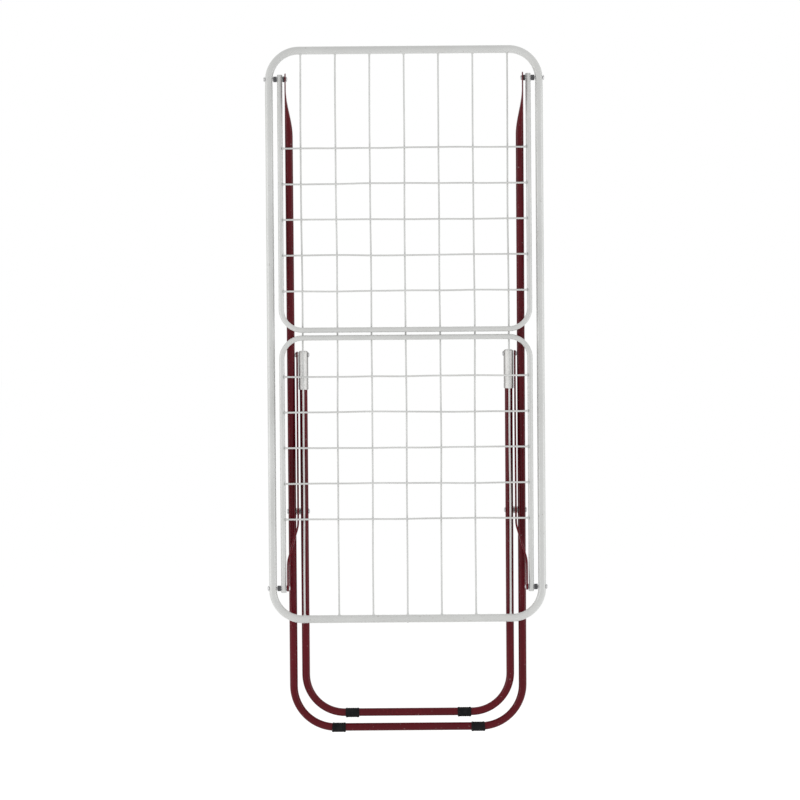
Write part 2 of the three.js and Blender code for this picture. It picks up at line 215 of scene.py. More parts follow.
# An enamel or powder coat: faint tone drift, orange peel, handling scuffs and settled
# dust. Each layer is noise, most of it through a ramp, mixed over the last by its share.
def coatedMetal(name, look):
    rules = coatRules
    constants = {
        "Coat Weight": look["coat"], "Coat Roughness": look["coatRoughness"],
        "Specular IOR Level": look["specular"], "IOR": rules["index"],
    }
    material, principled, start, place, _ = startMaterial(name, constants)
    drift = noise(start, place, look["driftScale"], 3.0)
    grain = noise(start, place, look["grainScale"], 2.0)
    peel = noise(start, place, look["peelScale"], 2.0, 0.55)
    stretch = rules["scuffStretch"]
    streak = noise(start, place, look["scuffScale"], 4.0, 0.6, stretch=stretch, distortion=0.4)
    patch = noise(start, place, look["patchScale"], 2.0)
    scuff = mask(start, streak, *rules["scuffLimits"]) * mask(start, patch, *rules["patchLimits"])
    dust = mask(start, noise(start, place, look["dustScale"], 5.0, 0.7), *rules["dustLimits"])
    speck = mask(start, noise(start, place, look["speckScale"], 1.0), *rules["speckLimits"])
    tone = mask(start, drift, *rules["driftLimits"])
    colour = mixColour(start, tone, look["deep"], look["light"])
    colour = mixColour(start, grain * look["grainShare"], colour, look["grainColour"])
    colour = mixColour(start, dust * look["dustShare"], colour, look["dustColour"])
    colour = mixColour(start, scuff * look["scuffShare"], colour, look["scuffColour"])
    colour = mixColour(start, speck * look["speckShare"], colour, look["speckColour"])
    link(principled, "Base Color", colour)
    rough = look["roughness"] + drift * rules["driftRough"] + scuff * rules["scuffRough"]
    link(principled, "Roughness", rough + dust * rules["dustRough"])
    height = peel * look["peelHeight"] + grain * rules["grainHeight"]
    height = height - scuff * rules["scuffDepth"] - speck * rules["speckDepth"]
    addBump(start, principled, height, look["bump"], rules["bumpDistance"])
    return material


# Plated steel: fine turned rings, a sine of the distance along the rows, with dull
# patches and pits.
def platedSteel(name, look):
    constants = {"Metallic": 1.0, "IOR": look["index"]}
    material, principled, start, place, around = startMaterial(name, constants)
    along = start.node("ShaderNodeSeparateXYZ", output=1, _0=around)
    rings = start.math("SINE", along * look["ringPitch"])
    tarnish = noise(start, place, look["tarnishScale"], 4.0, 0.65)
    tarnish = mask(start, tarnish, *look["tarnishLimits"])
    pits = mask(start, noise(start, place, look["pitScale"], 2.0), *look["pitLimits"])
    colour = mixColour(start, tarnish * look["tarnishShare"], look["bright"], look["dull"])
    colour = mixColour(start, pits * look["pitShare"], colour, look["pit"])
    link(principled, "Base Color", colour)
    rough = look["roughness"] + tarnish * look["tarnishRough"] + pits * look["pitRough"]
    link(principled, "Roughness", rough)
    height = rings * look["ringHeight"] - pits * look["pitDepth"] + tarnish * look["tarnishHeight"]
    addBump(start, principled, height, look["bump"], look["bumpDistance"])
    return material


mouldRules = {
    "index": 1.48, "flowStretch": (1, 1, 0.3), "flowLimits": (0.35, 0.65), "dustLimits": (0.46, 0.78),
    "partingWidth": 0.018, "textureShare": 0.18, "textureRough": 0.12, "dustRough": 0.12,
    "textureHeight": 0.6, "flowHeight": 0.15, "partingHeight": 0.8, "bumpDistance": 0.0003,
}


# Moulded plastic or rubber: spark-eroded texture, flow marks, dust, and parting lines at
# two opposite places round the piece, with a colour of their own beside them: a darker
# tint in a narrow band, and on the cap painted shade that darkens its left and right sides.
def mouldedPlastic(name, look):
    rules = mouldRules
    constants = {"Specular IOR Level": look["specular"], "IOR": rules["index"]}
    material, principled, start, place, around = startMaterial(name, constants)
    texture = noise(start, place, look["textureScale"], 3.0, 0.6)
    stretch = rules["flowStretch"]
    flow = noise(start, place, look["flowScale"], 3.0, 0.5, stretch=stretch, distortion=1.2)
    dust = mask(start, noise(start, place, look["dustScale"], 5.0, 0.7), *rules["dustLimits"])
    turn = start.node("ShaderNodeSeparateXYZ", output=0, _0=around)
    away = start.math("ABSOLUTE", start.math("FRACT", turn * 2.0 + 0.5) - 0.5)
    parting = mask(start, away, 0.0, rules["partingWidth"])
    tone = mask(start, flow, *rules["flowLimits"])
    colour = mixColour(start, tone, look["deep"], look["light"])
    # The side colour is a darker tint beside the parting lines, and on the cap it is painted shade over
    # the cap's two sides.
    centreShare = mask(start, away, look["sideStart"], look["sideReach"])
    colour = mixColour(start, centreShare, look["sideTintAndShade"], colour)
    colour = mixColour(start, texture * rules["textureShare"], colour, look["textureColour"])
    colour = mixColour(start, dust * look["dustShare"], colour, look["dustColour"])
    link(principled, "Base Color", colour)
    rough = look["roughness"] + texture * rules["textureRough"] + dust * rules["dustRough"]
    link(principled, "Roughness", rough)
    height = texture * rules["textureHeight"] + flow * rules["flowHeight"]
    height = height + (1 - parting) * rules["partingHeight"]
    addBump(start, principled, height, look["bump"], rules["bumpDistance"])
    return material


paintLook = {
    "framePaint": {
        "deep": (0.43, 0.435, 0.425, 1), "light": (0.505, 0.51, 0.50, 1),
        "grainColour": (0.60, 0.60, 0.59, 1), "grainShare": 0.22, "grainScale": 1400,
        "dustColour": (0.48, 0.46, 0.42, 1), "dustShare": 0.22, "dustScale": 22,
        "scuffColour": (0.40, 0.40, 0.39, 1), "scuffShare": 0.40, "scuffScale": 420, "patchScale": 9,
        "speckColour": (0.22, 0.20, 0.18, 1), "speckShare": 0.5, "speckScale": 240,
        "driftScale": 7, "peelScale": 520, "peelHeight": 0.5, "bump": 0.30,
        "roughness": 0.24, "coat": 0.35, "coatRoughness": 0.12, "specular": 0.5,
    },
    "wireCoat": {
        "deep": (0.44, 0.445, 0.435, 1), "light": (0.52, 0.525, 0.515, 1),
        "grainColour": (0.64, 0.64, 0.63, 1), "grainShare": 0.2, "grainScale": 1600,
        "dustColour": (0.54, 0.52, 0.47, 1), "dustShare": 0.25, "dustScale": 30,
        "scuffColour": (0.48, 0.48, 0.47, 1), "scuffShare": 0.3, "scuffScale": 700, "patchScale": 14,
        "speckColour": (0.30, 0.28, 0.25, 1), "speckShare": 0.35, "speckScale": 320,
        "driftScale": 12, "peelScale": 900, "peelHeight": 0.6, "bump": 0.25,
        "roughness": 0.30, "coat": 0.2, "coatRoughness": 0.2, "specular": 0.5,
    },
    "legPaint": {
        "deep": (0.050, 0.0015, 0.0035, 1), "light": (0.084, 0.0025, 0.0065, 1),
        "grainColour": (0.14, 0.006, 0.014, 1), "grainShare": 0.2, "grainScale": 1300,
        "dustColour": (0.11, 0.028, 0.028, 1), "dustShare": 0.12, "dustScale": 20,
        "scuffColour": (0.24, 0.03, 0.04, 1), "scuffShare": 0.4, "scuffScale": 380, "patchScale": 8,
        "speckColour": (0.26, 0.20, 0.19, 1), "speckShare": 0.4, "speckScale": 230,
        "driftScale": 6, "peelScale": 460, "peelHeight": 0.5, "bump": 0.28,
        "roughness": 0.20, "coat": 0.17, "coatRoughness": 0.06, "specular": 0.05,
    },
}
steelLook = {
    "bright": (0.56, 0.56, 0.57, 1), "dull": (0.33, 0.325, 0.315, 1), "pit": (0.14, 0.13, 0.12, 1),
    "ringPitch": 9000, "ringHeight": 0.10, "roughness": 0.26, "index": 2.5,
    "tarnishScale": 260, "tarnishLimits": (0.40, 0.75), "tarnishShare": 0.55,
    "tarnishRough": 0.18, "tarnishHeight": 0.08,
    "pitScale": 1500, "pitLimits": (0.66, 0.74), "pitShare": 0.5, "pitRough": 0.2, "pitDepth": 0.5,
    "bump": 0.35, "bumpDistance": 0.0002,
}
plasticLook = {
    "hingePlastic": {
        "deep": (0.030, 0.030, 0.033, 1), "light": (0.048, 0.048, 0.052, 1),
        "sideTintAndShade": (0.024, 0.024, 0.026, 1), "sideStart": 0.018, "sideReach": 0.06,
        "textureColour": (0.075, 0.075, 0.08, 1), "dustColour": (0.16, 0.15, 0.14, 1), "dustShare": 0.25,
        "textureScale": 2200, "flowScale": 60, "dustScale": 120,
        "roughness": 0.42, "specular": 0.5, "bump": 0.35,
    },
    "capPlastic": {
        "deep": (0.66, 0.655, 0.64, 1), "light": (0.76, 0.755, 0.74, 1),
        # The near-black side colour, spread wide from the parting lines, is painted shade on the cap's
        # left and right sides.
        "sideTintAndShade": (0.055, 0.05, 0.045, 1), "sideStart": 0.102, "sideReach": 0.34,
        "textureColour": (0.72, 0.71, 0.69, 1), "dustColour": (0.34, 0.32, 0.29, 1), "dustShare": 0.2,
        "textureScale": 1800, "flowScale": 45, "dustScale": 90,
        "roughness": 0.40, "specular": 0.5, "bump": 0.35,
    },
    "footRubber": {
        "deep": (0.004, 0.004, 0.005, 1), "light": (0.008, 0.008, 0.009, 1),
        "sideTintAndShade": (0.003, 0.003, 0.004, 1), "sideStart": 0.018, "sideReach": 0.06,
        "textureColour": (0.014, 0.014, 0.015, 1), "dustColour": (0.05, 0.045, 0.04, 1), "dustShare": 0.2,
        "textureScale": 1500, "flowScale": 50, "dustScale": 110,
        "roughness": 0.58, "specular": 0.08, "bump": 0.5,
    },
}
materials = {name: coatedMetal(name, look) for name, look in paintLook.items()}
materials["rivetSteel"] = platedSteel("rivetSteel", steelLook)
materials.update({name: mouldedPlastic(name, look) for name, look in plasticLook.items()})
print("materials made:", len(materials))


# Rows of points on rings become quads. Each end closes on one middle point, unless the
# last row joins the first. The map runs once around each ring and along the rows by
# distance in metres. The faces are flipped if the volume inside them comes out negative.
def gridPiece(name, rings, body, node, finish, closedRows=False):
    rows, columns = rings.shape[:2]
    centres = rings.mean(1)
    steps = np.linalg.norm(np.diff(centres, axis=0), axis=1)
    spread = np.linalg.norm(np.diff(rings[:, 0], axis=0), axis=1)
    along = np.concatenate([[0], np.cumsum(np.maximum(steps, spread))])
    row = np.arange(rows if closedRows else rows - 1)[:, None]
    column = np.arange(columns)[None, :]
    nextRow = (row + 1) % rows
    nextColumn = (column + 1) % columns
    corners = [row * columns + column, row * columns + nextColumn]
    corners += [nextRow * columns + nextColumn, nextRow * columns + column]
    quads = np.stack(corners, -1).reshape(-1, 4)
    turn = np.stack([column, column + 1, column + 1, column], -1) / columns
    lastAlong = along[-1] + (np.linalg.norm(centres[-1] - centres[0]) if closedRows else 0)
    length = np.append(along, lastAlong)
    rise = np.stack([length[row], length[row], length[row + 1], length[row + 1]], -1)
    turn, rise = (grid.reshape(-1) for grid in np.broadcast_arrays(turn, rise))
    vertices = rings.reshape(-1, 3)
    faces = quads.tolist()
    if not closedRows:
        vertices = np.concatenate([vertices, centres[[0, -1]]])
        first = np.stack([column[0], np.full(columns, rows * columns), nextColumn[0]], -1)
        base = (rows - 1) * columns
        last = np.stack([base + column[0], base + nextColumn[0], np.full(columns, rows * columns + 1)], -1)
        faces += first.tolist() + last.tolist()
        capTurn = np.stack([column[0], column[0] + 0.5, column[0] + 1], -1).reshape(-1) / columns
        capRise = np.concatenate([np.zeros(columns * 3), np.full(columns * 3, lastAlong)])
        turn = np.concatenate([turn, capTurn, capTurn])
        rise = np.concatenate([rise, capRise])
    points = vertices[quads]
    normals = np.cross(points[:, 2] - points[:, 0], points[:, 3] - points[:, 1])
    outward = points.mean(1) - points.mean((0, 1))
    mesh = bpy.data.meshes.new(name)
    mesh.from_pydata(vertices.tolist(), [], faces)
    layer = mesh.uv_layers.new(name="along")
    layer.data.foreach_set("uv", np.stack([turn, rise], -1).astype(np.float32).ravel())
    volume = float((outward * normals).sum())
    if volume < 0:
        mesh.flip_normals()
    mesh.polygons.foreach_set("use_smooth", np.ones(len(mesh.polygons), bool))
    mesh.materials.append(materials[finish])
    mesh.update()
    piece = bpy.data.objects.new(name, mesh)
    bpy.context.scene.collection.objects.link(piece)
    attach(piece, body)
    if node:
        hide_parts(node)


# Points turned about the X axis through a pivot.
def turnAboutX(points, pivot, angle):
    moved = points - np.array(pivot)
    y = moved[..., 1] * math.cos(angle) - moved[..., 2] * math.sin(angle)
    z = moved[..., 1] * math.sin(angle) + moved[..., 2] * math.cos(angle)
    return np.stack([moved[..., 0], y, z], -1) + np.array(pivot)


# A route in the XZ plane: straight runs and quarter arcs of one radius at its inner
# corners. Gives the centre points and directions, with arcs in even angle steps.
def roundedRoute(corners, radius, arcSteps=26, straightStep=12 * mm):
    corners = np.array(corners, float)
    centres = []
    directions = []
    start = corners[0]
    for index in range(1, len(corners)):
        leg = corners[index] - corners[index - 1]
        ahead = leg / np.linalg.norm(leg)
        last = index == len(corners) - 1
        end = corners[index] if last else corners[index] - ahead * radius
        count = max(2, int(round(np.linalg.norm(end - start) / straightStep)))
        share = np.linspace(0, 1, count, endpoint=last)[:, None]
        centres.append(start + (end - start) * share)
        directions.append(np.repeat(ahead[None], count, 0))
        if not last:
            onward = corners[index + 1] - corners[index]
            onward = onward / np.linalg.norm(onward)
            angle = np.linspace(0, math.pi / 2, arcSteps, endpoint=False)[:, None]
            place = end + radius * (ahead * np.sin(angle) + onward * (1 - np.cos(angle)))
            centres.append(place)
            directions.append(ahead * np.cos(angle) + onward * np.sin(angle))
            start = corners[index] + onward * radius
    return np.concatenate(centres), np.concatenate(directions)


# Rings around a route: outward is to the side in the XZ plane, and depth is along Y.
def tubeRings(centres, directions, outSize, depthSize, columns):
    outward = np.cross(directions, np.array([0.0, 1.0, 0.0]))
    angle = np.linspace(0, 2 * math.pi, columns, endpoint=False)
    outPart = outward[:, None] * (np.cos(angle)[:, None] * np.reshape(outSize, (-1, 1, 1)))
    depth = np.sin(angle)[:, None] * np.array([0.0, 1.0, 0.0])
    return centres[:, None] + outPart + depth * np.reshape(depthSize, (-1, 1, 1))


# How far a direction has turned from level and upright: 0 on a straight, 1 half-way round.
def bendShare(directions):
    return np.minimum(np.abs(directions[:, 0]), np.abs(directions[:, 2])) * math.sqrt(2)


# Side tubes are pressed in around a rivet by a bell curve of the distance from it.
def pressIn(rings, away, halfWidth, radius, look):
    press = look["rivetDimple"] * np.exp(-((away / look["dimpleSpread"]) ** 2))
    proud = (np.abs(rings[..., 0]) - halfWidth) / radius
    rings[..., 0] -= np.sign(rings[..., 0]) * press * proud


endLook = {"depth": 14 * mm, "roll": 0.4 * mm}


# Extra rings at an open end: the rim rounds over and the bore goes back inside.
def openEnd(centre, direction, outer, wall, columns, sign=1):
    roll = np.array([0.35, 0.7, 1.0, 0.7, 0.35, 0.0])
    across = np.array([0.05, 0.2, 0.5, 0.8, 0.95, 1.0])
    offset = np.append(roll * endLook["roll"], -endLook["depth"])
    radius = outer - wall * np.append(across, 1.0)
    centres = centre + direction * (offset * sign)[:, None]
    directions = np.repeat(direction[None], len(offset), 0)
    return tubeRings(centres, directions, radius, radius, columns)


# Both ends of a tube get their rim and bore.
def withOpenEnds(rings, centres, directions, outer, wall):
    columns = rings.shape[1]
    first = openEnd(centres[0], directions[0], outer, wall, columns, sign=-1)[::-1]
    last = openEnd(centres[-1], directions[-1], outer, wall, columns)
    return np.concatenate([first, rings, last])


turnLook = {"gapShare": 0.4, "leastRadius": 0.01 * mm, "leastGap": 0.002 * mm}


# A turned piece on an axis along X: profile rows are distance along X and radius, and
# each corner is rounded by a short quadratic curve.
def turnedRings(profile, sign, place, columns, corner):
    profile = np.array(profile, float)
    rows = []
    for index, point in enumerate(profile):
        near = [profile[max(index - 1, 0)], profile[min(index + 1, len(profile) - 1)]]
        ends = []
        for other in near:
            gap = other - point
            reach = np.linalg.norm(gap)
            nearer = min(corner, reach * turnLook["gapShare"])
            ends.append(point + gap * (nearer / reach if reach else 0))
        share = np.linspace(0, 1, 4)[:, None]
        rows.append((1 - share) ** 2 * ends[0] + 2 * share * (1 - share) * point + share**2 * ends[1])
    rows = np.concatenate(rows)
    rows = rows[rows[:, 1] > turnLook["leastRadius"]]
    apart = np.linalg.norm(np.diff(rows, axis=0), axis=1) > turnLook["leastGap"]
    rows = rows[np.append(True, apart)]
    angle = np.linspace(0, 2 * math.pi, columns, endpoint=False)
    x = np.repeat(rows[:, :1], columns, 1) * sign
    y = rows[:, 1:] * np.cos(angle) + place[1]
    z = rows[:, 1:] * np.sin(angle) + place[2]
    return np.stack([x, y, z], -1)


frameLook = {
    "cornerRadius": 57 * mm, "columns": 44, "bendFlat": 0.035, "bendDeepShare": 0.3,
    "rivetDimple": 0.45 * mm, "dimpleSpread": 7 * mm,
}
seamLook = {
    "radius": 7.62 * mm, "half": 2.4 * mm, "ripples": 26, "rippleHeight": 0.10 * mm,
    "sunk": 0.35 * mm, "crown": 0.7 * mm, "innerShare": 0.9, "rows": 15, "columns": 72,
}


# A rounded rectangle swept by a circle that flattens a little in each bend, and is
# pressed in around each rivet.
def makeFrame():
    low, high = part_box("main_frame")
    radius = (high.y - low.y) / 2
    sideX = high.x - radius
    top = high.z - radius
    bottom = low.z + radius
    route = [(0, 0, bottom), (-sideX, 0, bottom), (-sideX, 0, top)]
    route += [(sideX, 0, top), (sideX, 0, bottom), (0, 0, bottom)]
    centres, directions = roundedRoute(route, frameLook["cornerRadius"])
    centres, directions = centres[:-1], directions[:-1]
    bend = bendShare(directions)
    out = radius * (1 - frameLook["bendFlat"] * bend)
    deep = radius * (1 + frameLook["bendFlat"] * frameLook["bendDeepShare"] * bend)
    rings = tubeRings(centres, directions, out, deep, frameLook["columns"])
    for pin in (upperPin, lowerPin):
        away = np.hypot(rings[..., 1], rings[..., 2] - pin.z)
        pressIn(rings, away, sideX, radius, frameLook)
    gridPiece("frameTube", rings, "frame", "main_frame", "framePaint", closedRows=True)
    makeFrameSeam(bottom)


# A ring bead: half an ellipse along the tube, rippled by a sine around it.
def makeFrameSeam(bottom):
    look = seamLook
    share = np.linspace(-1, 1, look["rows"])
    angle = np.linspace(0, 2 * math.pi, look["columns"], endpoint=False)
    crown = look["radius"] - look["sunk"] + look["crown"] * np.sqrt(np.maximum(0, 1 - share**2))
    ripple = look["rippleHeight"] * np.sin(angle * look["ripples"])[None] * (1 - share**2)[:, None]
    size = crown[:, None] + ripple
    x = np.repeat((share * look["half"])[:, None], len(angle), 1)
    seam = np.stack([x, size * np.cos(angle), bottom + size * np.sin(angle)], -1)
    inner = seam.copy()
    inner[..., 1] *= look["innerShare"]
    inner[..., 2] = bottom + (inner[..., 2] - bottom) * look["innerShare"]
    loop = np.concatenate([seam, inner[::-1]])
    gridPiece("frameSeamWeld", loop, "frame", None, "framePaint", closedRows=True)


makeFrame()

spigotLook = {"chamfer": 1.2 * mm, "columns": 28, "corner": 0.25 * mm}


# A solid rod with chamfered ends, inside the tube's butt seam.
def makeSpigot():
    look = spigotLook
    low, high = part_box("frame_spigot")
    radius = (high.z - low.z) / 2
    chamfer = look["chamfer"]
    profile = [(low.x, 0), (low.x, radius - chamfer), (low.x + chamfer, radius)]
    profile += [(high.x - chamfer, radius), (high.x, radius - chamfer), (high.x, 0)]
    rings = turnedRings(profile, 1, middle("frame_spigot"), look["columns"], look["corner"])
    gridPiece("frameSpigot", rings, "frame", "frame_spigot", "rivetSteel")


makeSpigot()
print("frame tube made")

wireLook = {
    "radius": 1.7 * mm, "columns": 12, "step": 7 * mm, "sideWave": 0.75 * mm, "depthWave": 0.22 * mm,
    "weldSpread": 2.2 * mm, "weldFlare": 0.55, "sink": 0.9 * mm,
    "lineSeed": 40, "upperSeed": 70, "lowerSeed": 80,
    "waveDivisors": (1, 2, 3.5), "waveCounts": (1.0, 2.0, 4.0),
}


# A round wire along one axis. It wanders by a sum of three sines that fade at the ends,
# and its radius swells at each end into the weld.
def wireRings(node, axis, sideAxis, seed):
    look = wireLook
    low, high = (np.array(corner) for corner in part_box(node))
    centre = (low + high) / 2
    length = high[axis] - low[axis] + 2 * look["sink"]
    ends = np.array([0, 0.6, 1.2, 1.8, 2.6, 3.6, 5.0, 7.0]) * mm
    body = np.linspace(ends[-1], length - ends[-1], int(length / look["step"]))[1:-1]
    along = np.concatenate([ends, body, length - ends[::-1]])
    draw = np.random.default_rng(seed)
    waves = draw.uniform(0.6, 1, 3) / np.array(look["waveDivisors"])
    phases = draw.uniform(0, 2 * math.pi, (2, 3))
    counts = np.array(look["waveCounts"]) * draw.uniform(0.8, 1.3, 3)
    share = along / length
    angle = 2 * math.pi * share[:, None] * counts
    fade = np.clip(4 * share * (1 - share), 0, 1) ** 0.5
    toSide = (np.sin(angle + phases[0]) * waves).sum(1) * fade * look["sideWave"]
    toDepth = (np.sin(angle + phases[1]) * waves).sum(1) * fade * look["depthWave"]
    fromEnd = np.minimum(along, length - along)
    size = look["radius"] * (1 + look["weldFlare"] * np.exp(-((fromEnd / look["weldSpread"]) ** 2)))
    centres = np.repeat(centre[None], len(along), 0)
    centres[:, axis] += along - length / 2
    centres[:, sideAxis] += toSide
    centres[:, 1] += toDepth
    turn = np.linspace(0, 2 * math.pi, look["columns"], endpoint=False)
    rings = np.repeat(centres[:, None], look["columns"], 1)
    rings[..., sideAxis] += size[:, None] * np.cos(turn)
    rings[..., 1] += size[:, None] * np.sin(turn)
    return rings


for index in range(1, 8):
    node = f"line_wire_{index}"
    rings = wireRings(node, 2, 0, wireLook["lineSeed"] + index)
    gridPiece(f"lineWire{index}", rings, "frame", node, "wireCoat")
for wing in ("upper", "lower"):
    for index in range(1, 6):
        node = f"{wing}_wing_wire_{index}"
        rings = wireRings(node, 0, 2, wireLook[f"{wing}Seed"] + index)
        gridPiece(f"{wing}WingWire{index}", rings, f"{wing}_wing", node, "wireCoat")
print("wires made")

wingLook = {
    "radius": 5 * mm, "wall": 1 * mm, "halfWidth": 235 * mm, "length": 475 * mm,
    "cornerRadius": 40 * mm, "beyondPin": 8 * mm, "tilt": 0.9, "columns": 32, "bendFlat": 0.03,
    "rivetDimple": 0.35 * mm, "dimpleSpread": 5 * mm,
}


# A U of round tube, open at its two ends, built about its pins and then tilted.
def makeWing(name, pin, direction):
    look = wingLook
    start = -direction * look["beyondPin"]
    end = direction * look["length"]
    half = look["halfWidth"]
    route = [(half, 0, start), (half, 0, end), (-half, 0, end), (-half, 0, start)]
    centres, directions = roundedRoute(route, look["cornerRadius"])
    bend = bendShare(directions)
    out = look["radius"] * (1 - look["bendFlat"] * bend)
    rings = tubeRings(centres, directions, out, np.full(len(out), look["radius"]), look["columns"])
    away = np.hypot(rings[..., 1], rings[..., 2])
    pressIn(rings, away, half, look["radius"], look)
    rings = withOpenEnds(rings, centres, directions, look["radius"], look["wall"])
    rings = rings + np.array(pin)
    rings = turnAboutX(rings, pin, direction * math.radians(look["tilt"]))
    gridPiece(f"{name}WingTube", rings, f"{name}_wing", f"{name}_wing_tube", "framePaint")


makeWing("upper", upperPin, -1)
makeWing("lower", lowerPin, 1)
print("wing tubes made")

legLook = {
    "radius": 7.5 * mm, "wall": 1 * mm, "columns": 44, "bendFlat": 0.035,
    "plateThickness": 3 * mm, "plateWidth": 22 * mm, "plateStart": 20 * mm, "taperEnd": 108 * mm,
    "outerBend": 80 * mm, "innerBend": 74 * mm, "beyondElbow": 5 * mm, "outerStep": 6 * mm,
    "innerStep": 12 * mm, "plateSquare": 0.55, "topShare": 0.2, "endRise": 0.8, "endThin": 0.25,
}
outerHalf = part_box("outer_leg_tube")[1].x - legLook["radius"]
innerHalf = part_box("inner_leg_tube")[1].x - legLook["radius"]
outerBar = (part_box("outer_leg_tube")[0].z + legLook["radius"] - upperPin.z) / math.cos(legTilt)
innerBar = (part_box("inner_leg_tube")[0].z + legLook["radius"] - upperPin.z) / math.cos(legTilt)
elbowAlong = (elbow.z - upperPin.z) / math.cos(legTilt)


# A U of round tube that flattens a little in its two bends, pins at height zero.
def legTube(halfWidth, top, bar, bendRadius, straightStep):
    route = [(halfWidth, 0, top), (halfWidth, 0, bar), (-halfWidth, 0, bar), (-halfWidth, 0, top)]
    centres, directions = roundedRoute(route, bendRadius, straightStep=straightStep)
    bend = bendShare(directions)
    out = legLook["radius"] * (1 - legLook["bendFlat"] * bend)
    deep = np.full(len(out), legLook["radius"])
    return centres, directions, tubeRings(centres, directions, out, deep, legLook["columns"])


# From upright at the pins' height to the legs' own tilt about the upper pins.
def placeOnLegs(rings):
    return turnAboutX(rings + np.array(upperPin), upperPin, legTilt)


# The tube's circle blends into a flat plate towards each pin. The outer edge stays
# straight, the width grows as the thickness shrinks, and the plate's end is a half round.
def makeOuterLeg():
    look = legLook
    plateHalf = look["plateWidth"] / 2
    thin = look["plateThickness"] / 2
    top = plateHalf * look["topShare"]
    rings = legTube(outerHalf, top, outerBar, look["outerBend"], look["outerStep"])[2]
    taperLength = look["taperEnd"] - look["plateStart"]
    share = np.clip((rings[..., 2] + look["taperEnd"]) / taperLength, 0, 1)
    share = share * share * (3 - 2 * share)
    sign = np.sign(rings[..., 0])
    acrossX = (np.abs(rings[..., 0]) - outerHalf) / look["radius"]
    acrossY = rings[..., 1] / look["radius"]
    slab = np.clip(np.sign(acrossX) * np.abs(acrossX) ** look["plateSquare"], -1, 1)
    x = acrossX * look["radius"] * (1 - share) + slab * thin * share
    y = acrossY * (look["radius"] * (1 - share) + plateHalf * share)
    moved = rings.copy()
    taper = share > 0
    shifted = sign * (outerHalf + (look["radius"] - thin) * share + x)
    moved[..., 0] = np.where(taper, shifted, rings[..., 0])
    moved[..., 1] = np.where(taper, y, rings[..., 1])
    ends = []
    for ring in (moved[0], moved[-1]):
        middleX = ring[:, 0].mean()
        rounds = []
        for turn in np.radians([14, 28, 42, 56, 70, 82]):
            lift = ring.copy()
            lift[:, 1] = ring[:, 1] * math.cos(turn)
            lift[:, 2] = ring[:, 2] + plateHalf * look["endRise"] * math.sin(turn)
            thinned = 1 - look["endThin"] * math.sin(turn) ** 4
            lift[:, 0] = middleX + (ring[:, 0] - middleX) * thinned
            rounds.append(lift)
        ends.append(np.array(rounds))
    whole = np.concatenate([ends[0][::-1], moved, ends[1]])
    gridPiece("outerLegTube", placeOnLegs(whole), "outer_leg", "outer_leg_tube", "legPaint")


# The same U with open ends, which the caps cover.
def makeInnerLeg():
    look = legLook
    top = elbowAlong + look["beyondElbow"]
    centres, directions, rings = legTube(
        innerHalf, top, innerBar, look["innerBend"], look["innerStep"]
    )
    rings = withOpenEnds(rings, centres, directions, look["radius"], look["wall"])
    gridPiece("innerLegTube", placeOnLegs(rings), "inner_leg", "inner_leg_tube", "legPaint")


makeOuterLeg()
makeInnerLeg()
print("leg tubes made")

footLook = {
    "radius": 10 * mm, "bore": 7.6 * mm, "length": 26 * mm, "flat": 9.7 * mm, "ribs": 5,
    "ribDepth": 0.55 * mm, "topShare": 0.86, "plainEnd": 0.14, "rimRound": 1.6 * mm,
    "rows": 64, "columns": 48,
}


# A sleeve on the bar and into its bend: the radius dips in even grooves and rounds over
# at both ends. It is thinner above the bar than below it, and cut level underneath.
def makeFoot(name, node, sign, halfWidth, bar, bendRadius, body):
    look = footLook
    low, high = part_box(node)
    innerEnd = min(abs(low.x), abs(high.x))
    share = np.linspace(0, 1, look["rows"])
    level = np.zeros(look["rows"])
    distance = share * look["length"]
    bendStart = halfWidth - bendRadius - innerEnd
    past = np.maximum(distance - bendStart, 0) / bendRadius
    x = innerEnd + np.minimum(distance, bendStart) + bendRadius * np.sin(past)
    z = bar + bendRadius * (1 - np.cos(past))
    centres = np.stack([x * sign, level, z], -1)
    directions = np.stack([np.cos(past) * sign, level, np.sin(past)], -1)
    plain = look["plainEnd"]
    ribbed = np.clip((share - plain) / (1 - 2 * plain), 0, 1)
    groove = np.abs(np.sin(math.pi * look["ribs"] * ribbed)) ** 0.5
    inside = (share > plain) & (share < 1 - plain)
    size = look["radius"] - np.where(inside, look["ribDepth"] * groove, 0)
    fromEnd = np.minimum(distance, look["length"] - distance)
    rim = np.clip(fromEnd / look["rimRound"], 0, 1)
    size = look["bore"] + (size - look["bore"]) * np.sqrt(1 - (1 - rim) ** 2)
    rings = tubeRings(centres, directions, size, size, look["columns"])
    rise = rings[..., 2] - centres[:, None, 2]
    toBore = np.minimum(rise, look["bore"] * rise / size[:, None])
    thinner = np.maximum(rise * look["topShare"], toBore)
    rings[..., 2] = centres[:, None, 2] + np.where(rise > 0, thinner, rise)
    base = centres[:, None, 2] - look["flat"]
    rings[..., 2] = np.maximum(rings[..., 2], np.minimum(base, bar - look["flat"]))
    gridPiece(name, placeOnLegs(rings), body, node, "footRubber")


legShape = {
    "outer": (outerHalf, outerBar, legLook["outerBend"]),
    "inner": (innerHalf, innerBar, legLook["innerBend"]),
}
for side, sign in sides.items():
    for leg, (half, bar, bend) in legShape.items():
        name = f"{leg}Foot{side.capitalize()}"
        makeFoot(name, f"{leg}_foot_{side}", sign, half, bar, bend, f"{leg}_leg")
print("feet made")

capLook = {
    "radius": 9.2 * mm, "bore": 7.7 * mm, "length": 74 * mm, "top": 2.5 * mm, "domeHeight": 4.5 * mm,
    "grooves": (0.16, 0.24, 0.32), "grooveSpread": 0.012, "grooveDepth": 0.5 * mm,
    "mouthRound": 0.5 * mm, "mouthHeight": 1.2 * mm, "mouthDepth": 9 * mm, "clearance": 0.3 * mm,
    "rows": 90, "domeRows": 16, "columns": 48, "domeSquare": 0.55,
}


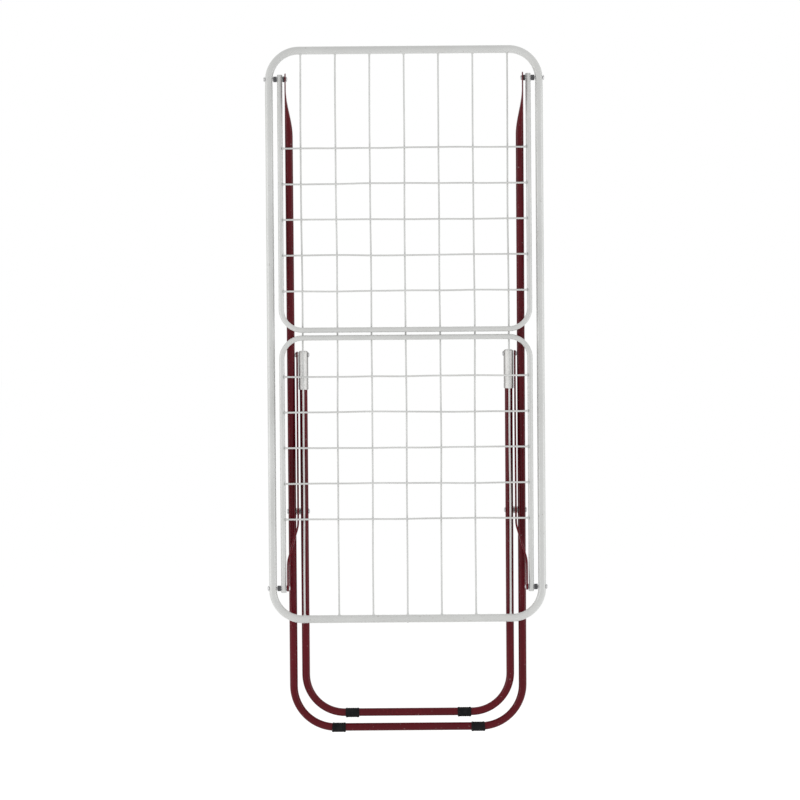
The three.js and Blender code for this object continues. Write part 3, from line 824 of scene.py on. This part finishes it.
# A moulded sleeve turned about the leg: a rounded mouth, three bell-shaped grooves and a
# domed top.
def makeCap(side, sign):
    look = capLook
    top = elbowAlong + legLook["beyondElbow"] + look["clearance"] + look["top"]
    bottom = top - look["length"]
    wall = np.linspace(0, 1, look["rows"])
    height = bottom + wall * (look["length"] - look["domeHeight"])
    groove = np.zeros(look["rows"])
    for place in look["grooves"]:
        groove += np.exp(-(((wall - place) / look["grooveSpread"]) ** 2))
    mouth = np.clip((height - bottom) / look["mouthHeight"], 0, 1)
    rounding = look["mouthRound"] * (1 - np.sqrt(1 - (1 - mouth) ** 2))
    radius = look["radius"] - look["grooveDepth"] * groove - rounding
    turn = np.linspace(0, math.pi / 2, look["domeRows"])[1:-1]
    domeZ = height[-1] + look["domeHeight"] * np.sin(turn)
    domeR = look["radius"] * np.cos(turn) ** look["domeSquare"]
    z = np.concatenate([[height[0] + look["mouthDepth"], height[0]], height, domeZ])
    r = np.concatenate([[look["bore"], look["bore"]], radius, domeR])
    angle = np.linspace(0, 2 * math.pi, look["columns"], endpoint=False)
    x = sign * innerHalf + r[:, None] * np.cos(angle)
    y = r[:, None] * np.sin(angle)
    rings = np.stack([x, y, np.repeat(z[:, None], look["columns"], 1)], -1)
    node = f"inner_leg_cap_{side}"
    gridPiece(f"innerLegCap{side.capitalize()}", placeOnLegs(rings), "inner_leg", node, "capPlastic")


for side, sign in sides.items():
    makeCap(side, sign)
print("caps made")

linkLook = {
    "thickness": 3.5 * mm, "width": 12 * mm, "innerFace": 205 * mm, "outerFace": 225.2 * mm,
    "bendStart": 52 * mm, "bendEnd": 118 * mm, "bendSoft": 9 * mm, "columns": 40,
    "squareX": 0.28, "squareY": 0.45, "tipHalf": 0.5 * mm, "tipRows": 14, "rows": 150,
    "bendSharpness": 3,
}


# A flat bar whose middle line steps sideways by a smooth ramp. Its section is a rounded
# oblong, and its width closes in a half round at both ends.
def makeLink(side, sign):
    look = linkLook
    length = math.hypot(elbow.y - lowerPin.y, elbow.z - lowerPin.z)
    half = look["width"] / 2
    end = np.linspace(0, 1, look["tipRows"])
    start = -half * np.cos(end * math.pi / 2)
    finish = length + half * np.sin(end * math.pi / 2)
    z = np.concatenate([start, np.linspace(0, length, look["rows"])[1:-1], finish])
    bendLength = look["bendEnd"] - look["bendStart"]
    ramp = (z - look["bendStart"]) / bendLength
    soft = look["bendSoft"] / bendLength
    sharp = look["bendSharpness"]
    early = np.logaddexp(0, ramp / soft * sharp)
    late = np.logaddexp(0, (ramp - 1) / soft * sharp)
    shift = (look["innerFace"] - look["outerFace"]) * (soft * (early - late) / sharp)
    x = look["outerFace"] + shift + look["thickness"] / 2
    beyond = np.maximum(np.maximum(-z, z - length), 0)
    width = np.sqrt(np.maximum(half**2 - beyond**2, look["tipHalf"] ** 2))
    slope = np.gradient(x, z)
    tangent = np.stack([slope, np.zeros(len(z)), np.ones(len(z))], -1)
    tangent /= np.linalg.norm(tangent, axis=1)[:, None]
    across = np.stack([tangent[:, 2], np.zeros(len(z)), -tangent[:, 0]], -1)
    angle = np.linspace(0, 2 * math.pi, look["columns"], endpoint=False)
    flatX = np.sign(np.cos(angle)) * np.abs(np.cos(angle)) ** look["squareX"]
    flatY = np.sign(np.sin(angle)) * np.abs(np.sin(angle)) ** look["squareY"]
    middleLine = np.stack([x, np.zeros(len(z)), z], -1)
    rings = middleLine[:, None] + across[:, None] * (flatX * look["thickness"] / 2)[:, None]
    rings[..., 1] += width[:, None] * flatY
    rings[..., 0] *= sign
    rings = turnAboutX(rings + np.array(lowerPin), lowerPin, -linkTilt)
    gridPiece(f"link{side.capitalize()}", rings, f"link_{side}", f"link_{side}", "legPaint")


for side, sign in sides.items():
    makeLink(side, sign)
print("links made")

rivetLook = {
    "shank": 2.5 * mm, "head": 5 * mm, "height": 2.6 * mm, "dimple": 0.5 * mm,
    "dimpleSpread": 0.2, "rim": 0.985, "columns": 36, "corner": 0.08 * mm,
    "linkHead": 4.9 * mm, "linkHeadTop": 4.6 * mm, "linkCrown": 2.6 * mm, "linkStep": 0.7 * mm,
    "linkCorner": 0.4 * mm,
}
ringLook = {"bore": 2.85 * mm, "columns": 40, "corner": 0.5 * mm}


# A domed head as profile rows from its middle outwards: a quarter ellipse less a bell
# curve for the dimple.
def headRows(face, direction):
    look = rivetLook
    share = np.array([0.0, 0.12, 0.24, 0.34, 0.45, 0.58, 0.70, 0.80, 0.89, 0.96, 1.0])
    crown = look["height"] * np.sqrt(1 - (share * look["rim"]) ** 2)
    crown -= look["dimple"] * np.exp(-((share / look["dimpleSpread"]) ** 2))
    rows = [(face + direction * rise, share[i] * look["head"]) for i, rise in enumerate(crown)]
    return rows + [(face, look["head"] * look["rim"])]


# The near and far distance of a node from the middle plane.
def span(node):
    low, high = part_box(node)
    return sorted((abs(low.x), abs(high.x)))


# A round shank, with a domed head at one end or both.
def makeRivet(side, sign, label, node, body, place, start, end, inner=True, outer=True):
    shank = rivetLook["shank"]
    first = headRows(start, -1) + [(start, shank)] if inner else [(start, 0), (start, shank)]
    last = [(end, shank)] + headRows(end, 1)[::-1] if outer else [(end, shank), (end, 0)]
    rings = turnedRings(first + last, sign, place, rivetLook["columns"], rivetLook["corner"])
    gridPiece(f"{label}{side.capitalize()}", rings, body, node, "rivetSteel")


# A plain ring that fills its node from a bore to its rim.
def makeRing(name, node, body, finish, sign):
    low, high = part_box(node)
    start, end = span(node)
    bore = ringLook["bore"]
    rim = (high.z - low.z) / 2
    profile = [(start, bore), (start, rim), (end, rim), (end, bore)]
    rings = turnedRings(profile, sign, middle(node), ringLook["columns"], ringLook["corner"])
    gridPiece(name, rings, body, node, finish, closedRows=True)


# A short shank through the link, and a low head that narrows outwards from its face.
def makeLinkRivet(side, sign):
    look = rivetLook
    node = f"link_rivet_{side}"
    start, end = span(node)
    face = linkLook["innerFace"] + linkLook["thickness"]
    profile = [(start, 0), (start, look["shank"]), (face, look["shank"]), (face, look["linkHead"])]
    profile += [(end - look["linkStep"], look["linkHeadTop"]), (end, look["linkCrown"]), (end, 0)]
    rings = turnedRings(profile, sign, elbow, look["columns"], look["linkCorner"])
    gridPiece(f"linkRivet{side.capitalize()}", rings, f"link_{side}", node, "rivetSteel")


headHeight = rivetLook["height"]
for side, sign in sides.items():
    tail = side.capitalize()
    for level in ("upper", "lower"):
        node = f"hinge_pin_{level}_{side}"
        start, end = span(node)
        label = f"{level}HingePin"
        inner, outer = start + headHeight, end - headHeight
        makeRivet(side, sign, label, node, "frame", middle(node), inner, outer)
        spacer = f"frame_spacer_{level}_{side}"
        makeRing(f"{level}FrameSpacer{tail}", spacer, "frame", "hingePlastic", sign)
        washer = f"wing_washer_{level}_{side}"
        makeRing(f"{level}WingWasher{tail}", washer, "frame", "hingePlastic", sign)
    node = f"cross_rivet_{side}"
    start, end = span(node)
    inner, outer = start + headHeight, end - headHeight
    makeRivet(side, sign, "crossRivet", node, "outer_leg", middle(node), inner, outer)
    makeRing(f"crossBush{tail}", f"cross_bush_{side}", "outer_leg", "capPlastic", sign)
    node = f"elbow_pin_{side}"
    start, end = span(node)
    inner = start + headHeight
    makeRivet(side, sign, "elbowPin", node, "inner_leg", elbow, inner, end, outer=False)
    makeLinkRivet(side, sign)
print("rivets and rings made")

stageLook = {
    "below": 0.25, "size": 60, "floorColour": (1, 1, 1, 1), "floorRoughness": 0.95,
    "worldColour": (1, 1, 1, 1), "worldStrength": 1.0,
}


# One square of floor under the feet, and an even world around.
def makeStage():
    size = stageLook["size"]
    z = cadBox[0][2] - stageLook["below"]
    mesh = bpy.data.meshes.new("floor")
    corners = [(-size, -size, z), (size, -size, z), (size, size, z), (-size, size, z)]
    mesh.from_pydata(corners, [], [(0, 1, 2, 3)])
    material = bpy.data.materials.new("floorPaper")
    material.use_nodes = True
    principled = material.node_tree.nodes["Principled BSDF"]
    principled.inputs["Base Color"].default_value = stageLook["floorColour"]
    principled.inputs["Roughness"].default_value = stageLook["floorRoughness"]
    principled.inputs["Specular IOR Level"].default_value = 0.0
    mesh.materials.append(material)
    floor = bpy.data.objects.new("floor", mesh)
    bpy.context.scene.collection.objects.link(floor)
    world = bpy.data.worlds.new("studio")
    world.use_nodes = True
    background = world.node_tree.nodes["Background"]
    background.inputs["Color"].default_value = stageLook["worldColour"]
    background.inputs["Strength"].default_value = stageLook["worldStrength"]
    bpy.context.scene.world = world


lightLook = {
    "left": {"place": (-2.6, -0.9, 0.0), "size": 1.6, "power": 20},
    "right": {"place": (2.6, -0.8, 0.0), "size": 1.6, "power": 17},
    "back": {"place": (0.6, 2.6, 0.7), "size": 1.6, "power": 5},
}


# Square lights placed from the middle of the object, each turned to face it.
def makeLights():
    centre = Vector((0, 0, (cadBox[0][2] + cadBox[1][2]) / 2))
    for name, look in lightLook.items():
        data = bpy.data.lights.new(name, "AREA")
        data.size = look["size"]
        data.energy = look["power"]
        light = bpy.data.objects.new(name, data)
        light.location = centre + Vector(look["place"])
        aim = centre - light.location
        light.rotation_euler = aim.to_track_quat("-Z", "Y").to_euler()
        bpy.context.scene.collection.objects.link(light)


makeStage()
makeLights()
bpy.context.scene.view_settings.view_transform = "Standard"
print("floor and lights made")

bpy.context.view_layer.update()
